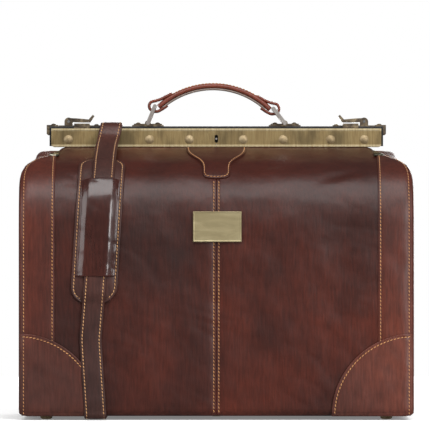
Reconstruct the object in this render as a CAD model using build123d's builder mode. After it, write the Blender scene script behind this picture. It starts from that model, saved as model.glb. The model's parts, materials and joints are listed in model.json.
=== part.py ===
from build123d import *
from math import cos, hypot, radians, sin
import os

os.makedirs("parts", exist_ok=True)

# Doctor bag, millimetres, X to the right, -Y to the front, +Z up, feet on Z = 0.
HALF_WIDTH = 220.5
HALF_DEPTH = 108.0
LEATHER = 2.5
BASE_Z = 4.0
WALL_TOP = 212.0
NECK = 177.0
PIVOT_Z = 228.0
RAIL_HALF = 186.5
RAIL_BOTTOM = 305.0
RAIL_TOP = 325.8
BACK_RAIL_TOP = 328.6
RAIL_DEPTH = 14.0
SHEET = 1.2
RIVET_X = (30.6, 75.4, 129.1, 167.2)
RIVET_Z = 313.3
STRAP = 3.0
STRAP_HALF = 12.5
LATCH_PIVOT = (167.5, 333.9)
RING_PIVOT = (77.5, 331.9)
RING_LENGTH = 21.0
RING_WIRE = 1.7
HANDLE_Y = 7.2
LEFT_LEAN = 22.0
RIGHT_LEAN = 37.5

# Outer face of the front leather above the straight wall, bottom to top, as (Y, Z).
SHOULDER = [(-108, 212), (-106.5, 232), (-101, 252), (-90, 270), (-72, 284), (-48, 294), (-24, 300.5), (-15, 302)]
FRONT_LINE = [(-108, 6), (-108, 120)] + SHOULDER


def shift(points, distance):
    """Points moved sideways to the left of travel."""
    moved = []
    last = len(points) - 1
    for index, (u, v) in enumerate(points):
        before = points[max(index - 1, 0)]
        after = points[min(index + 1, last)]
        du = after[0] - before[0]
        dv = after[1] - before[1]
        length = hypot(du, dv)
        moved.append((u - distance * dv / length, v + distance * du / length))
    return moved


def ribbon(points, near, far):
    """Closed outline of a sheet that follows a line between two offsets."""
    return shift(points, near) + shift(points, far)[::-1]


def slab(points, width):
    """A (Y, Z) outline spread over the whole width."""
    with BuildPart() as body:
        with BuildSketch(Plane.YZ):
            with BuildLine():
                Polyline(*points, close=True)
            make_face()
        extrude(amount=width, both=True)
    return body.part


def front_view(points, depth=140.0):
    """An (X, Z) outline spread from the middle towards the front."""
    with BuildPart() as body:
        with BuildSketch(Plane.XZ):
            with BuildLine():
                Polyline(*points, close=True)
            make_face()
        extrude(amount=depth)
    return body.part


def block(x0, x1, y0, y1, z0, z1):
    """A box between two corners."""
    with BuildPart() as body:
        with Locations(((x0 + x1) / 2, (y0 + y1) / 2, (z0 + z1) / 2)):
            Box(x1 - x0, y1 - y0, z1 - z0)
    return body.part


def rod(start, direction, radius, length):
    """A round bar from a point along an axis."""
    with BuildPart() as body:
        with BuildSketch(Plane(origin=start, z_dir=direction)):
            Circle(radius)
        extrude(amount=length)
    return body.part


def save(builder, label):
    """Name a finished piece and write it."""
    builder.part.label = label
    export_step(builder.part, "parts/" + label + ".step")


# ---- base ----
FEET = [(0, 0), (-190, -82), (190, -82), (-190, 82), (190, 82)]
with BuildPart() as base_panel:
    with Locations((0, 0, BASE_Z + LEATHER / 2)):
        Box(2 * HALF_WIDTH - 6, 2 * HALF_DEPTH - 6, LEATHER)
    with Locations(*[(x, y, BASE_Z) for x, y in FEET]):
        Cylinder(2.05, 20, mode=Mode.SUBTRACT)
save(base_panel, "base_panel")

with BuildPart() as base_board:
    with Locations((0, 0, BASE_Z + LEATHER + 1.3)):
        Box(2 * HALF_WIDTH - 10, 2 * HALF_DEPTH - 10, 2.6)
    with Locations(*[(x, y, BASE_Z) for x, y in FEET]):
        Cylinder(2.05, 20, mode=Mode.SUBTRACT)
save(base_board, "base_board")

with BuildPart() as base_feet:
    with BuildSketch(Plane.XZ):
        with BuildLine():
            Polyline((0, 0), (4.5, 0), (6.5, 1.2), (7, 4), (2, 4), (2, 9), (0, 9), close=True)
        make_face()
    foot = revolve(axis=Axis.Z, mode=Mode.PRIVATE)
    with Locations(*[(x, y, 0) for x, y in FEET]):
        add(foot)
save(base_feet, "base_feet")

# ---- straight walls ----
with BuildPart() as front_panel:
    add(block(-HALF_WIDTH + 0.5, HALF_WIDTH - 0.5, -HALF_DEPTH, -HALF_DEPTH + LEATHER, BASE_Z, WALL_TOP))
    fillet(front_panel.edges().filter_by(Axis.X).group_by(Axis.Z)[0].sort_by(Axis.Y)[0], 2.2)
    fillet(front_panel.edges().filter_by(Axis.Z).group_by(Axis.Y)[0], 2.2)
save(front_panel, "front_panel")

with BuildPart() as back_panel:
    add(mirror(front_panel.part, about=Plane.XZ))
save(back_panel, "back_panel")

for side, name in ((-1, "left"), (1, "right")):
    with BuildPart() as gusset:
        with Locations((side * (HALF_WIDTH - LEATHER / 2), 0, (BASE_Z + WALL_TOP - 0.2) / 2)):
            Box(LEATHER, 2 * (HALF_DEPTH - LEATHER), WALL_TOP - 0.2 - BASE_Z)
    save(gusset, name + "_gusset")

# ---- folding shoulders ----
CAP = [(-220, 212), (-219.7, 272), (-217, 281), (-204, 289.5), (-184, 296.5), (-178.5, 303)]
CAP_OUTLINE = CAP + [(-x, z) for x, z in CAP[::-1]]

with BuildPart() as front_upper_panel:
    add(slab(ribbon(SHOULDER, -LEATHER, 0), 230))
    add(front_view(CAP_OUTLINE), mode=Mode.INTERSECT)
save(front_upper_panel, "front_upper_panel")

with BuildPart() as back_upper_panel:
    add(mirror(front_upper_panel.part, about=Plane.XZ))
save(back_upper_panel, "back_upper_panel")

INSIDE = shift(SHOULDER, -LEATHER - 0.2) + [(-0.4, 299), (-0.4, 212.0)]
FOLD_SHEET = shift(CAP, 0) + shift(CAP, -LEATHER)[::-1]
for side, name in ((-1, "left"), (1, "right")):
    with BuildPart() as fold:
        add(front_view([(-side * x, z) for x, z in FOLD_SHEET]))
        add(slab(INSIDE, 230), mode=Mode.INTERSECT)
    save(fold, name + "_gusset_front_fold")
    with BuildPart() as back_fold:
        add(mirror(fold.part, about=Plane.XZ))
    save(back_fold, name + "_gusset_back_fold")

# ---- appliques on the faces ----
STRIP = [(-220.2, 6), (-220.2, 272), (-217.3, 280.8), (-204, 289.8), (-187, 295.6), (-180, 295.6), (-180, 6)]
for side, name in ((-1, "left"), (1, "right")):
    with BuildPart() as strip:
        add(slab(ribbon(FRONT_LINE, 0.3, 2.3), 230))
        add(front_view([(-side * x, z) for x, z in STRIP]), mode=Mode.INTERSECT)
        add(rod((side * HALF_WIDTH, 0, BASE_Z), (0, -1, 0), 92.4, 140), mode=Mode.SUBTRACT)
    save(strip, name + "_front_side_strip")
    with BuildPart() as back_strip:
        add(mirror(strip.part, about=Plane.XZ))
    save(back_strip, name + "_back_side_strip")

with BuildPart() as front_corner_patches:
    for side in (-1, 1):
        add(rod((side * HALF_WIDTH, -HALF_DEPTH - 0.3, BASE_Z), (0, -1, 0), 92.0, 2.0))
    add(block(-220.2, 220.2, -120, -100, 6, 120), mode=Mode.INTERSECT)
save(front_corner_patches, "front_corner_patches")

with BuildPart() as back_corner_patches:
    add(mirror(front_corner_patches.part, about=Plane.XZ))
save(back_corner_patches, "back_corner_patches")

TAB = [(-34, 303), (-33, 297), (-26, 291), (-18.5, 286), (-15.5, 281), (-15.5, 272), (-11.5, 268)]
with BuildPart() as centre_tab:
    add(slab(ribbon(SHOULDER, 0.3, 2.3), 60))
    add(front_view(TAB + [(-x, z) for x, z in TAB[::-1]]), mode=Mode.INTERSECT)
save(centre_tab, "centre_tab")

with BuildPart() as nameplate:
    add(block(-26, 28, -110, -108.3, 198, 232))
    fillet(nameplate.edges().filter_by(Axis.Y), 2)
    add(block(-23, 25, -111, -109.5, 201, 229), mode=Mode.SUBTRACT)
save(nameplate, "nameplate")

with BuildPart() as corner_clips:
    for side in (-1, 1):
        with BuildPart() as clip:
            add(slab(ribbon(SHOULDER, 2.6, 3.8), 230))
            clip_line = [(-187.5, 293.8), (-176.5, 293.8), (-176.5, 299.5), (-183.5, 299.5)]
            add(front_view([(-side * x, z) for x, z in clip_line]), mode=Mode.INTERSECT)
        add(clip.part)
save(corner_clips, "front_corner_clips")

with BuildPart() as back_clips:
    add(mirror(corner_clips.part, about=Plane.XZ))
save(back_clips, "back_corner_clips")

# ---- inside ----
with BuildPart() as lining:
    add(block(-217.4, 217.4, -104.8, 104.8, 9.6, 205))
    add(block(-216, 216, -103.4, 103.4, 11, 210), mode=Mode.SUBTRACT)
save(lining, "lining")

with BuildPart() as inner_pocket:
    add(block(-95, 95, 101.4, 103.2, 60, 175))
    fillet(inner_pocket.edges().filter_by(Axis.Y), 12)
save(inner_pocket, "inner_pocket")


# ---- opening frame ----
def rivet_head(x, y, z, direction, radius, height, shank, length):
    """A domed rivet, head outwards along Y, shank inwards."""
    ball = (radius**2 + height**2) / (2 * height)
    with BuildPart() as rivet:
        with Locations((x, y - direction * (ball - height), z)):
            Sphere(ball)
        keep = (y, y + direction * 20)
        add(block(x - 20, x + 20, min(keep), max(keep), z - 20, z + 20), mode=Mode.INTERSECT)
        add(rod((x, y, z), (0, -direction, 0), shank, length))
    return rivet.part


def stud(x, y, z, radius, height, shank, length):
    """A small domed rivet, head upwards, shank downwards."""
    ball = (radius**2 + height**2) / (2 * height)
    with BuildPart() as rivet:
        with Locations((x, y, z - (ball - height))):
            Sphere(ball)
        add(block(x - 20, x + 20, y - 20, y + 20, z, z + 20), mode=Mode.INTERSECT)
        add(rod((x, y, z), (0, 0, -1), shank, length))
    return rivet.part


RAIL_RIVETS = [side * x for side in (-1, 1) for x in RIVET_X]
STUDS = [side * x for side in (-1, 1) for x in (66.5, 88.5, 135.8, 184.5)]

with BuildPart() as front_rail_core:
    add(block(-185.3, 185.3, -12.8, -0.3, 306.2, 324.6))
    for x in RAIL_RIVETS:
        add(rod((x, -20, RIVET_Z), (0, 1, 0), 2.05, 40), mode=Mode.SUBTRACT)
    add(block(-13, 15, -20, 1, 308.5, 321), mode=Mode.SUBTRACT)
save(front_rail_core, "front_rail_core")

with BuildPart() as front_rail_cover:
    add(block(-RAIL_HALF, RAIL_HALF, -RAIL_DEPTH, -3, RAIL_BOTTOM, RAIL_TOP))
    fillet(front_rail_cover.edges().filter_by(Axis.Y).group_by(Axis.Z)[0], 3)
    add(block(-185.3, 185.3, -12.8, 1, 306.2, 324.6), mode=Mode.SUBTRACT)
    add(block(-176, -160, -9.2, 1, 300, 306.2), mode=Mode.SUBTRACT)
    add(block(160, 176, -9.2, 1, 300, 306.2), mode=Mode.SUBTRACT)
    for z in (RAIL_BOTTOM + 0.3, RAIL_TOP - 2.1):
        add(block(-185, 185, -RAIL_DEPTH - 0.7, -RAIL_DEPTH, z + 0.2, z + 1.8))
    for x in RAIL_RIVETS:
        add(rod((x, -20, RIVET_Z), (0, 1, 0), 2.05, 12), mode=Mode.SUBTRACT)
    with BuildSketch(Plane.XZ.offset(20)) as keyhole:
        with Locations((0, 314.15)):
            SlotOverall(9, 3.8, rotation=90)
    extrude(amount=-10, mode=Mode.SUBTRACT)
save(front_rail_cover, "front_rail_cover")

with BuildPart() as front_rail_rivets:
    for x in RAIL_RIVETS:
        add(rivet_head(x, -RAIL_DEPTH, RIVET_Z, -1, 5.1, 1.9, 2.0, 13.5))
save(front_rail_rivets, "front_rail_rivets")

with BuildPart() as back_rail:
    add(block(-189, 189, 0.3, 12.8, 306.2, BACK_RAIL_TOP))
    fillet(back_rail.edges().filter_by(Axis.X).group_by(Axis.Z)[-1], 1.2)
    for x in RAIL_RIVETS:
        add(rod((x, 20, RIVET_Z), (0, -1, 0), 2.05, 40), mode=Mode.SUBTRACT)
    for x in STUDS:
        add(rod((x, HANDLE_Y, 340), (0, 0, -1), 1.55, 20), mode=Mode.SUBTRACT)
save(back_rail, "back_rail")

with BuildPart() as back_rail_cover:
    add(block(-RAIL_HALF, RAIL_HALF, 8, RAIL_DEPTH, RAIL_BOTTOM, RAIL_TOP))
    fillet(back_rail_cover.edges().filter_by(Axis.Y).group_by(Axis.Z)[0], 3)
    add(block(-190, 190, 0, 12.8, 306.2, 330), mode=Mode.SUBTRACT)
    add(block(-176, -160, 0, 9.2, 300, 306.2), mode=Mode.SUBTRACT)
    add(block(160, 176, 0, 9.2, 300, 306.2), mode=Mode.SUBTRACT)
    for x in RAIL_RIVETS:
        add(rod((x, 20, RIVET_Z), (0, -1, 0), 2.05, 12), mode=Mode.SUBTRACT)
save(back_rail_cover, "back_rail_cover")

with BuildPart() as back_rail_rivets:
    for x in RAIL_RIVETS:
        add(rivet_head(x, RAIL_DEPTH, RIVET_Z, 1, 5.1, 1.9, 2.0, 13.5))
save(back_rail_rivets, "back_rail_rivets")


def legs(inner, outer, facing, hole):
    """Two flat bars from a rail down to the hinge pins."""
    with BuildPart() as pair:
        for side in (-1, 1):
            near = min(side * inner, side * outer)
            with BuildSketch(Plane.YZ.offset(near)):
                with BuildLine():
                    Polyline(
                        (facing * 8.7, 306.2),
                        (facing * 1.2, 306.2),
                        (-facing * 3.5, PIVOT_Z + 5),
                        (facing * 5.5, PIVOT_Z + 5),
                        close=True,
                    )
                make_face()
                with Locations((0, PIVOT_Z)):
                    Circle(8)
                    Circle(hole, mode=Mode.SUBTRACT)
            extrude(amount=outer - inner)
    return pair.part


with BuildPart() as front_legs:
    add(legs(168.0, 171.2, -1, 3.06))
save(front_legs, "front_legs")

with BuildPart() as back_legs:
    add(legs(164.0, 167.2, 1, 3.02))
save(back_legs, "back_legs")

with BuildPart() as hinge_pins:
    for side in (-1, 1):
        add(rod((side * 162.5, 0, PIVOT_Z), (side, 0, 0), 3.0, 9.6))
        add(rod((side * 161.0, 0, PIVOT_Z), (side, 0, 0), 5.0, 2.0))
        add(rod((side * 171.9, 0, PIVOT_Z), (side, 0, 0), 5.0, 1.8))
save(hinge_pins, "hinge_pins")

# ---- lock ----
with BuildPart() as lock_case:
    add(block(-12.9, 14.9, -12.8, -8, 308.6, 320.9))
    add(block(-12.9, 1, -8, -1, 310.5, 317.9))
    add(block(-20, 20, -6.1, -2.9, 312.6, 315.8), mode=Mode.SUBTRACT)
    with BuildSketch(Plane.XZ.offset(13)):
        with Locations((0, 314.15)):
            SlotOverall(9, 3.8, rotation=90)
    extrude(amount=-4, mode=Mode.SUBTRACT)
save(lock_case, "lock_case")

with BuildPart() as key_post:
    add(rod((0, -9.0, 314.15), (0, -1, 0), 1.1, 4.6))
    add(rod((0, -RAIL_DEPTH, 307.5 + 0.2), (0, -1, 0), 0.6, 0.7))
save(key_post, "key_post")

with BuildPart() as lock_bolt:
    add(block(-10.5, 0.6, -6.0, -3.0, 312.7, 315.7))
save(lock_bolt, "lock_bolt")

with BuildPart() as lock_strike:
    add(block(3, 6.2, -7.2, 0.3, 310.2, 318.2))
    add(block(0, 10, -6.4, -2.6, 312.3, 316.1), mode=Mode.SUBTRACT)
save(lock_strike, "lock_strike")

# ---- latches ----
for side, name in ((-1, "left"), (1, "right")):
    px, pz = LATCH_PIVOT
    with BuildPart() as latch_base:
        add(block(131.5, 179, 1.2, 12.2, BACK_RAIL_TOP, 329.6))
        for y in (1.4, 10.4):
            with BuildSketch(Plane.XZ.offset(-y)):
                with Locations((px, pz - 2.2)):
                    Rectangle(9.3, 4.5)
                with Locations((px, pz)):
                    Circle(4.6)
                    Circle(1.53, mode=Mode.SUBTRACT)
            extrude(amount=-1.6)
        add(rod((135.8, HANDLE_Y, 340), (0, 0, -1), 1.55, 20), mode=Mode.SUBTRACT)
        if side < 0:
            mirror(about=Plane.YZ, mode=Mode.REPLACE)
    save(latch_base, name + "_latch_base")

    with BuildPart() as end_bracket:
        add(block(179.3, 192.3, 1.2, 12.2, BACK_RAIL_TOP, 330.1))
        add(block(189.0, 192.3, 1.2, 12.2, 318.5, BACK_RAIL_TOP))
        chamfer(end_bracket.edges().filter_by(Axis.Y).group_by(Axis.X)[-1].sort_by(Axis.Z)[0], 1.5)
        add(rod((184.5, HANDLE_Y, 340), (0, 0, -1), 1.55, 20), mode=Mode.SUBTRACT)
        if side < 0:
            mirror(about=Plane.YZ, mode=Mode.REPLACE)
    save(end_bracket, name + "_end_bracket")

    with BuildPart() as latch_lever:
        with BuildSketch(Plane.XZ.offset(-3.3)):
            with BuildLine():
                Polyline(
                    (167.5, 338.0),
                    (158.0, 337.6),
                    (144.8, 336.4),
                    (140.2, 341.6),
                    (138.2, 340.2),
                    (142.8, 333.0),
                    (152.0, 332.9),
                    (164.4, 333.4),
                    close=True,
                )
            make_face()
            with Locations((px, pz)):
                Circle(4.1)
                Circle(1.56, mode=Mode.SUBTRACT)
        extrude(amount=-6.8)
        if side < 0:
            mirror(about=Plane.YZ, mode=Mode.REPLACE)
    save(latch_lever, name + "_latch_lever")

with BuildPart() as latch_pins:
    for side in (-1, 1):
        add(rod((side * LATCH_PIVOT[0], 1.0, LATCH_PIVOT[1]), (0, 1, 0), 1.5, 11.4))
save(latch_pins, "latch_pins")

with BuildPart() as hasp_tongues:
    add(block(143, 161, -11.5, -2.5, RAIL_TOP, 327.4))
    add(block(143, 161, -4.5, -2.5, 327.4, 331.6))
    add(block(143, 161, -2.5, 10.5, 330.0, 331.6))
    mirror(about=Plane.YZ)
save(hasp_tongues, "hasp_tongues")

with BuildPart() as top_rivets:
    for x in STUDS:
        seat = {66.5: 331.5, 88.5: 331.5, 135.8: 329.6, 184.5: 330.1}[abs(x)]
        add(stud(x, HANDLE_Y, seat, 3.2, 1.7, 1.5, seat - 321.5))
save(top_rivets, "top_rivets")

# ---- handle ----
for side, name in ((-1, "left"), (1, "right")):
    with BuildPart() as handle_mount:
        add(block(59.5, 95.5, 0.9, 12.9, BACK_RAIL_TOP, 330.0))
        add(block(61.5, 93.5, 1.6, 12.6, 330.0, 331.5))
        with BuildSketch(Plane.XZ.offset(-1.6)):
            with Locations(RING_PIVOT):
                Circle(3.4)
            with Locations((RING_PIVOT[0], 325)):
                Rectangle(12, 10, mode=Mode.SUBTRACT)
        extrude(amount=-11)
        add(rod((RING_PIVOT[0], -10, RING_PIVOT[1]), (0, 1, 0), 1.78, 40), mode=Mode.SUBTRACT)
        for x in (66.5, 88.5):
            add(rod((x, HANDLE_Y, 340), (0, 0, -1), 1.55, 20), mode=Mode.SUBTRACT)
        if side < 0:
            mirror(about=Plane.YZ, mode=Mode.REPLACE)
    save(handle_mount, name + "_handle_mount")

RING_HALF = 14.8


def ring_top(side, lean):
    """Centre of the bar at the top of a ring."""
    x = side * (RING_PIVOT[0] - RING_LENGTH * sin(radians(lean)))
    return x, RING_PIVOT[1] + RING_LENGTH * cos(radians(lean))


for side, lean, name in ((-1, LEFT_LEAN, "left"), (1, RIGHT_LEAN, "right")):
    top_x, top_z = ring_top(side, lean)
    foot_x = side * RING_PIVOT[0]
    middle = ((foot_x + top_x) / 2, (RING_PIVOT[1] + top_z) / 2)
    with BuildPart() as ring:
        for x, z in ((foot_x, RING_PIVOT[1]), (top_x, top_z)):
            add(rod((x, HANDLE_Y - RING_HALF, z), (0, 1, 0), RING_WIRE, 2 * RING_HALF))
        for y in (HANDLE_Y - RING_HALF - 1.5, HANDLE_Y + RING_HALF - 1.5):
            with BuildSketch(Plane.XZ.offset(-y)):
                with Locations(Location(middle, 90 + side * lean)):
                    SlotCenterToCenter(RING_LENGTH, 4.2)
            extrude(amount=-3)
    save(ring, name + "_handle_ring")

LEFT_TOP = ring_top(-1, LEFT_LEAN)
RIGHT_TOP = ring_top(1, RIGHT_LEAN)
HANDLE_HALF = 12.2
BODY_LEFT = -61.5
BODY_RIGHT = 57.0
with BuildPart() as handle_grip:
    with BuildSketch(Plane.XZ.offset(-HANDLE_Y)):
        with BuildLine():
            under = ThreePointArc((-66, 355.2), (-4.5, 371.5), (61, 352.6))
            over = ThreePointArc((-70.5, 357.2), (-4.5, 377), (65.6, 354.2))
            Line(under @ 0, over @ 0)
            Line(under @ 1, over @ 1)
        make_face()
        with Locations(LEFT_TOP, RIGHT_TOP):
            Circle(5.8)
        with Locations(LEFT_TOP, RIGHT_TOP):
            Circle(2.75, mode=Mode.SUBTRACT)
    extrude(amount=HANDLE_HALF, both=True)
save(handle_grip, "handle_grip")

grip_centre = under.arc_center
grip_radius = under.radius
with BuildPart() as handle_liner:
    with BuildSketch(Plane.XZ.offset(-HANDLE_Y)):
        with Locations((grip_centre.X, grip_centre.Y)):
            Circle(grip_radius - 0.1)
            Circle(grip_radius - 2.1, mode=Mode.SUBTRACT)
        with Locations(((BODY_LEFT + BODY_RIGHT) / 2, 380)):
            Rectangle(BODY_RIGHT - BODY_LEFT, 60, mode=Mode.INTERSECT)
    extrude(amount=HANDLE_HALF - 0.4, both=True)
save(handle_liner, "handle_liner")

# ---- shoulder strap, belted round the bag ----
PAD_LINE = shift(SHOULDER[:5], 4.8)
BACK_LINE = [(-y, z) for y, z in shift(SHOULDER[1:6], 1.6)][::-1]
STRAP_LINE = (
    [(110.6, 189.2), (111.2, 9), (110.8, 5.2), (107, 3.6), (-107, 3.6), (-110.8, 5.2), (-111.2, 9)]
    + [(-110.6, 100), (-112.8, 130)]
    + PAD_LINE
    + [(-50, 297.5), (-30, 302.5), (-20.5, 305.5), (-17.6, 309), (-17.6, 322), (-15, 327), (-11, 329.1)]
    + [(13, 329.1), (16.4, 327), (17.6, 322), (17.6, 309), (20.5, 305.5), (30, 302.2)]
    + BACK_LINE
    + [(111.5, 213), (116.0, 200), (116.0, 112)]
)
STRAP_MIDDLE = [(-117.8, 345), (-118, 332), (-123.5, 305), (-126, 269), (-140, 88), (-134.5, 4), (-134.5, -5)]
STRAP_VIEW = [(x - STRAP_HALF, z) for x, z in STRAP_MIDDLE] + [(x + STRAP_HALF, z) for x, z in STRAP_MIDDLE[::-1]]
BUCKLE_X = -131.3
BAR = (112.4, 190.0)
FAR_BAR = (118.0, 213.0)

with BuildPart() as shoulder_strap:
    add(slab(ribbon(STRAP_LINE, 0, STRAP), 230))
    add(rod((BUCKLE_X - 12.2, *BAR), (1, 0, 0), 3.3, 24.4))
    with BuildSketch(Plane.XZ.offset(140)):
        with BuildLine():
            Polyline(*STRAP_VIEW, close=True)
        make_face()
    extrude(amount=-280, mode=Mode.INTERSECT)
    add(rod((BUCKLE_X - 20, *BAR), (1, 0, 0), 1.56, 40), mode=Mode.SUBTRACT)
    add(block(BUCKLE_X - 2.3, BUCKLE_X + 2.3, 108, 130, 186.5, 209), mode=Mode.SUBTRACT)
save(shoulder_strap, "shoulder_strap")

BUCKLE_UP = (0, FAR_BAR[0] - BAR[0], FAR_BAR[1] - BAR[1])
with BuildPart() as strap_buckle:
    with BuildSketch(Plane(origin=(BUCKLE_X, *BAR), x_dir=(1, 0, 0), z_dir=(0, BUCKLE_UP[2], -BUCKLE_UP[1]))):
        with Locations((0, -11.85)):
            RectangleRounded(35, 26.7, 2.5)
        with Locations((0, -9.3)):
            Rectangle(29, 25.8, mode=Mode.SUBTRACT)
    extrude(amount=1.5, both=True)
    add(rod((BUCKLE_X - 15, *BAR), (1, 0, 0), 1.5, 30))
save(strap_buckle, "strap_buckle")

with BuildPart() as buckle_prong:
    with BuildSketch(Plane.YZ.offset(BUCKLE_X - 1.5)):
        with Locations(Location((BAR[0], BAR[1]), -21)):
            with Locations((0, 14.5)):
                Rectangle(2, 25)
        with Locations(BAR):
            Circle(2.9)
            Circle(1.57, mode=Mode.SUBTRACT)
    extrude(amount=3)
save(buckle_prong, "buckle_prong")

with BuildPart() as strap_keeper:
    add(block(-136.4 - 15, -136.4 + 15, 108.6, 121, 130, 139))
    add(block(-136.4 - 13.6, -136.4 + 13.6, 110.2, 119.4, 120, 150), mode=Mode.SUBTRACT)
save(strap_keeper, "strap_keeper")


def pad_outline(width, height, radius, middle_z):
    """Front view of a piece that lies along the tilted strap."""
    with BuildPart() as outline:
        with BuildSketch(Plane.XZ):
            with Locations(Location((-132.2 + (middle_z - 210) * 0.061, middle_z), -3.5)):
                RectangleRounded(width, height, radius)
        extrude(amount=140)
    return outline.part


with BuildPart() as strap_pad:
    add(slab(ribbon([(-108, 110)] + SHOULDER, 0.4, 4.4), 230))
    add(pad_outline(52, 157, 22, 210), mode=Mode.INTERSECT)
save(strap_pad, "strap_pad")

with BuildPart() as pad_sleeve:
    add(slab(ribbon([(-108, 110)] + SHOULDER, 8.2, 9.8), 230))
    add(pad_outline(45, 110, 3, 214), mode=Mode.INTERSECT)
save(pad_sleeve, "pad_sleeve")
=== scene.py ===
import json
import math

import bmesh
import bpy
import numpy as np
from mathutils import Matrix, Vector, noise

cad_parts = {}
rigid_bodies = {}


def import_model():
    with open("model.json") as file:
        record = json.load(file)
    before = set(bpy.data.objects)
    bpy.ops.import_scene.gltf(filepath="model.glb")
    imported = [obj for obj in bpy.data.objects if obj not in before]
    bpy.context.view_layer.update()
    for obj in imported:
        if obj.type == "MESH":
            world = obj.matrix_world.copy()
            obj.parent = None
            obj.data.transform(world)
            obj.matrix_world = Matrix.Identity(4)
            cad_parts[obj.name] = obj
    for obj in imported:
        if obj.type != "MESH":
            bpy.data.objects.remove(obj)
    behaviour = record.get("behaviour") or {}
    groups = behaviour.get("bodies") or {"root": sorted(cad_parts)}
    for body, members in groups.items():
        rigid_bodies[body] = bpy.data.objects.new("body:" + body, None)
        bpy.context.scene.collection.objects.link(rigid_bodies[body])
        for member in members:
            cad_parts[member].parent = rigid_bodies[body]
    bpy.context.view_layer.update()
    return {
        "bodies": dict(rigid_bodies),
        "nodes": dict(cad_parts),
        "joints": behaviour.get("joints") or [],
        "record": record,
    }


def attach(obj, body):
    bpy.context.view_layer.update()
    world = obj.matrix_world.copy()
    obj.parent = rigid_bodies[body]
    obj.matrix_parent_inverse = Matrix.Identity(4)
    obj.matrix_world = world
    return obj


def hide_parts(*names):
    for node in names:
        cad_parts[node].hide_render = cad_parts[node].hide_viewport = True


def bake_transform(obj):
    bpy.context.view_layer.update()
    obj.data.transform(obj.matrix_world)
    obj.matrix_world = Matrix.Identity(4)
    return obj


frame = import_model()
MM = 0.001
# Lower and upper edge of the brass rails, in metres.
RAIL_EDGES = (0.305, 0.3258)
BAG = "bag"

# --- materials


def new_material(name):
    """An empty node material and its principled shader."""
    mat = bpy.data.materials.new(name)
    mat.use_nodes = True
    return mat, mat.node_tree.nodes, mat.node_tree.links, mat.node_tree.nodes["Principled BSDF"]


def texture(nodes, links, kind, scale, stretch=(1, 1, 1), detail=4.0, distortion=0.0):
    """A noise, voronoi or wave texture in object space."""
    place = nodes.new("ShaderNodeTexCoord")
    mapping = nodes.new("ShaderNodeMapping")
    mapping.inputs["Scale"].default_value = stretch
    links.new(place.outputs["Object"], mapping.inputs["Vector"])
    tex = nodes.new(kind)
    tex.inputs["Scale"].default_value = scale
    if "Detail" in tex.inputs:
        tex.inputs["Detail"].default_value = detail
    if "Distortion" in tex.inputs:
        tex.inputs["Distortion"].default_value = distortion
    links.new(mapping.outputs["Vector"], tex.inputs["Vector"])
    return tex


def ramp(nodes, links, source, stops):
    """A colour ramp fed by a value."""
    node = nodes.new("ShaderNodeValToRGB")
    while len(node.color_ramp.elements) < len(stops):
        node.color_ramp.elements.new(0.5)
    for element, (position, colour) in zip(node.color_ramp.elements, stops):
        element.position = position
        element.color = (*colour, 1)
    links.new(source, node.inputs["Fac"])
    return node.outputs["Color"]


def mix(nodes, links, factor, a, b, mode="MIX"):
    """Two colours mixed by a value or a number."""
    node = nodes.new("ShaderNodeMix")
    node.data_type = "RGBA"
    node.blend_type = mode
    if isinstance(factor, float):
        node.inputs["Factor"].default_value = factor
    else:
        links.new(factor, node.inputs["Factor"])
    links.new(a, node.inputs[6])
    links.new(b, node.inputs[7])
    return node.outputs[2]


def bump(nodes, links, height, strength, distance, normal=None):
    """A bump node on top of another."""
    node = nodes.new("ShaderNodeBump")
    node.inputs["Strength"].default_value = strength
    node.inputs["Distance"].default_value = distance
    links.new(height, node.inputs["Height"])
    if normal:
        links.new(normal, node.inputs["Normal"])
    return node.outputs["Normal"]


def grey(value):
    """A grey for a ramp that drives a number."""
    return (value, value, value)


def leather(name, dark, middle, light, rough=(0.34, 0.5), coat=0.22, grain=0.22, coat_rough=0.3):
    """Polished vegetable-tanned leather: cloudy colour, drawn grain, fine pores, faint creases."""
    mat, nodes, links, shader = new_material(name)
    cloud = texture(nodes, links, "ShaderNodeTexNoise", 7.5, (1, 1, 0.75), 5.0, 0.4)
    colour = ramp(nodes, links, cloud.outputs["Fac"], [(0.3, dark), (0.5, middle), (0.74, light)])
    drawn = texture(nodes, links, "ShaderNodeTexNoise", 420.0, (1, 1, 0.12), 4.0, 0.3)
    speck = ramp(nodes, links, drawn.outputs["Fac"], [(0.34, grey(0.55)), (0.64, grey(1.0))])
    colour = mix(nodes, links, 0.7, colour, speck, "MULTIPLY")
    mottle = texture(nodes, links, "ShaderNodeTexNoise", 60.0, (1, 1, 1), 6.0, 0.3)
    blotch = ramp(nodes, links, mottle.outputs["Fac"], [(0.36, grey(0.75)), (0.64, grey(1.0))])
    colour = mix(nodes, links, 0.6, colour, blotch, "MULTIPLY")
    links.new(colour, shader.inputs["Base Color"])
    shine = ramp(nodes, links, cloud.outputs["Fac"], [(0.3, grey(rough[1])), (0.7, grey(rough[0]))])
    links.new(shine, shader.inputs["Roughness"])
    pores = texture(nodes, links, "ShaderNodeTexVoronoi", 620.0)
    pores.feature = "DISTANCE_TO_EDGE"
    crease = texture(nodes, links, "ShaderNodeTexNoise", 50.0, (1, 1, 0.8), 7.0, 1.2)
    normal = bump(nodes, links, crease.outputs["Fac"], 0.3 * grain / 0.25, 0.0012)
    normal = bump(nodes, links, drawn.outputs["Fac"], 0.35, 0.0005, normal)
    normal = bump(nodes, links, pores.outputs["Distance"], grain, 0.0004, normal)
    links.new(normal, shader.inputs["Normal"])
    shader.inputs["Coat Weight"].default_value = coat
    shader.inputs["Specular IOR Level"].default_value = 0.28
    shader.inputs["Coat Roughness"].default_value = coat_rough
    return mat


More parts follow.
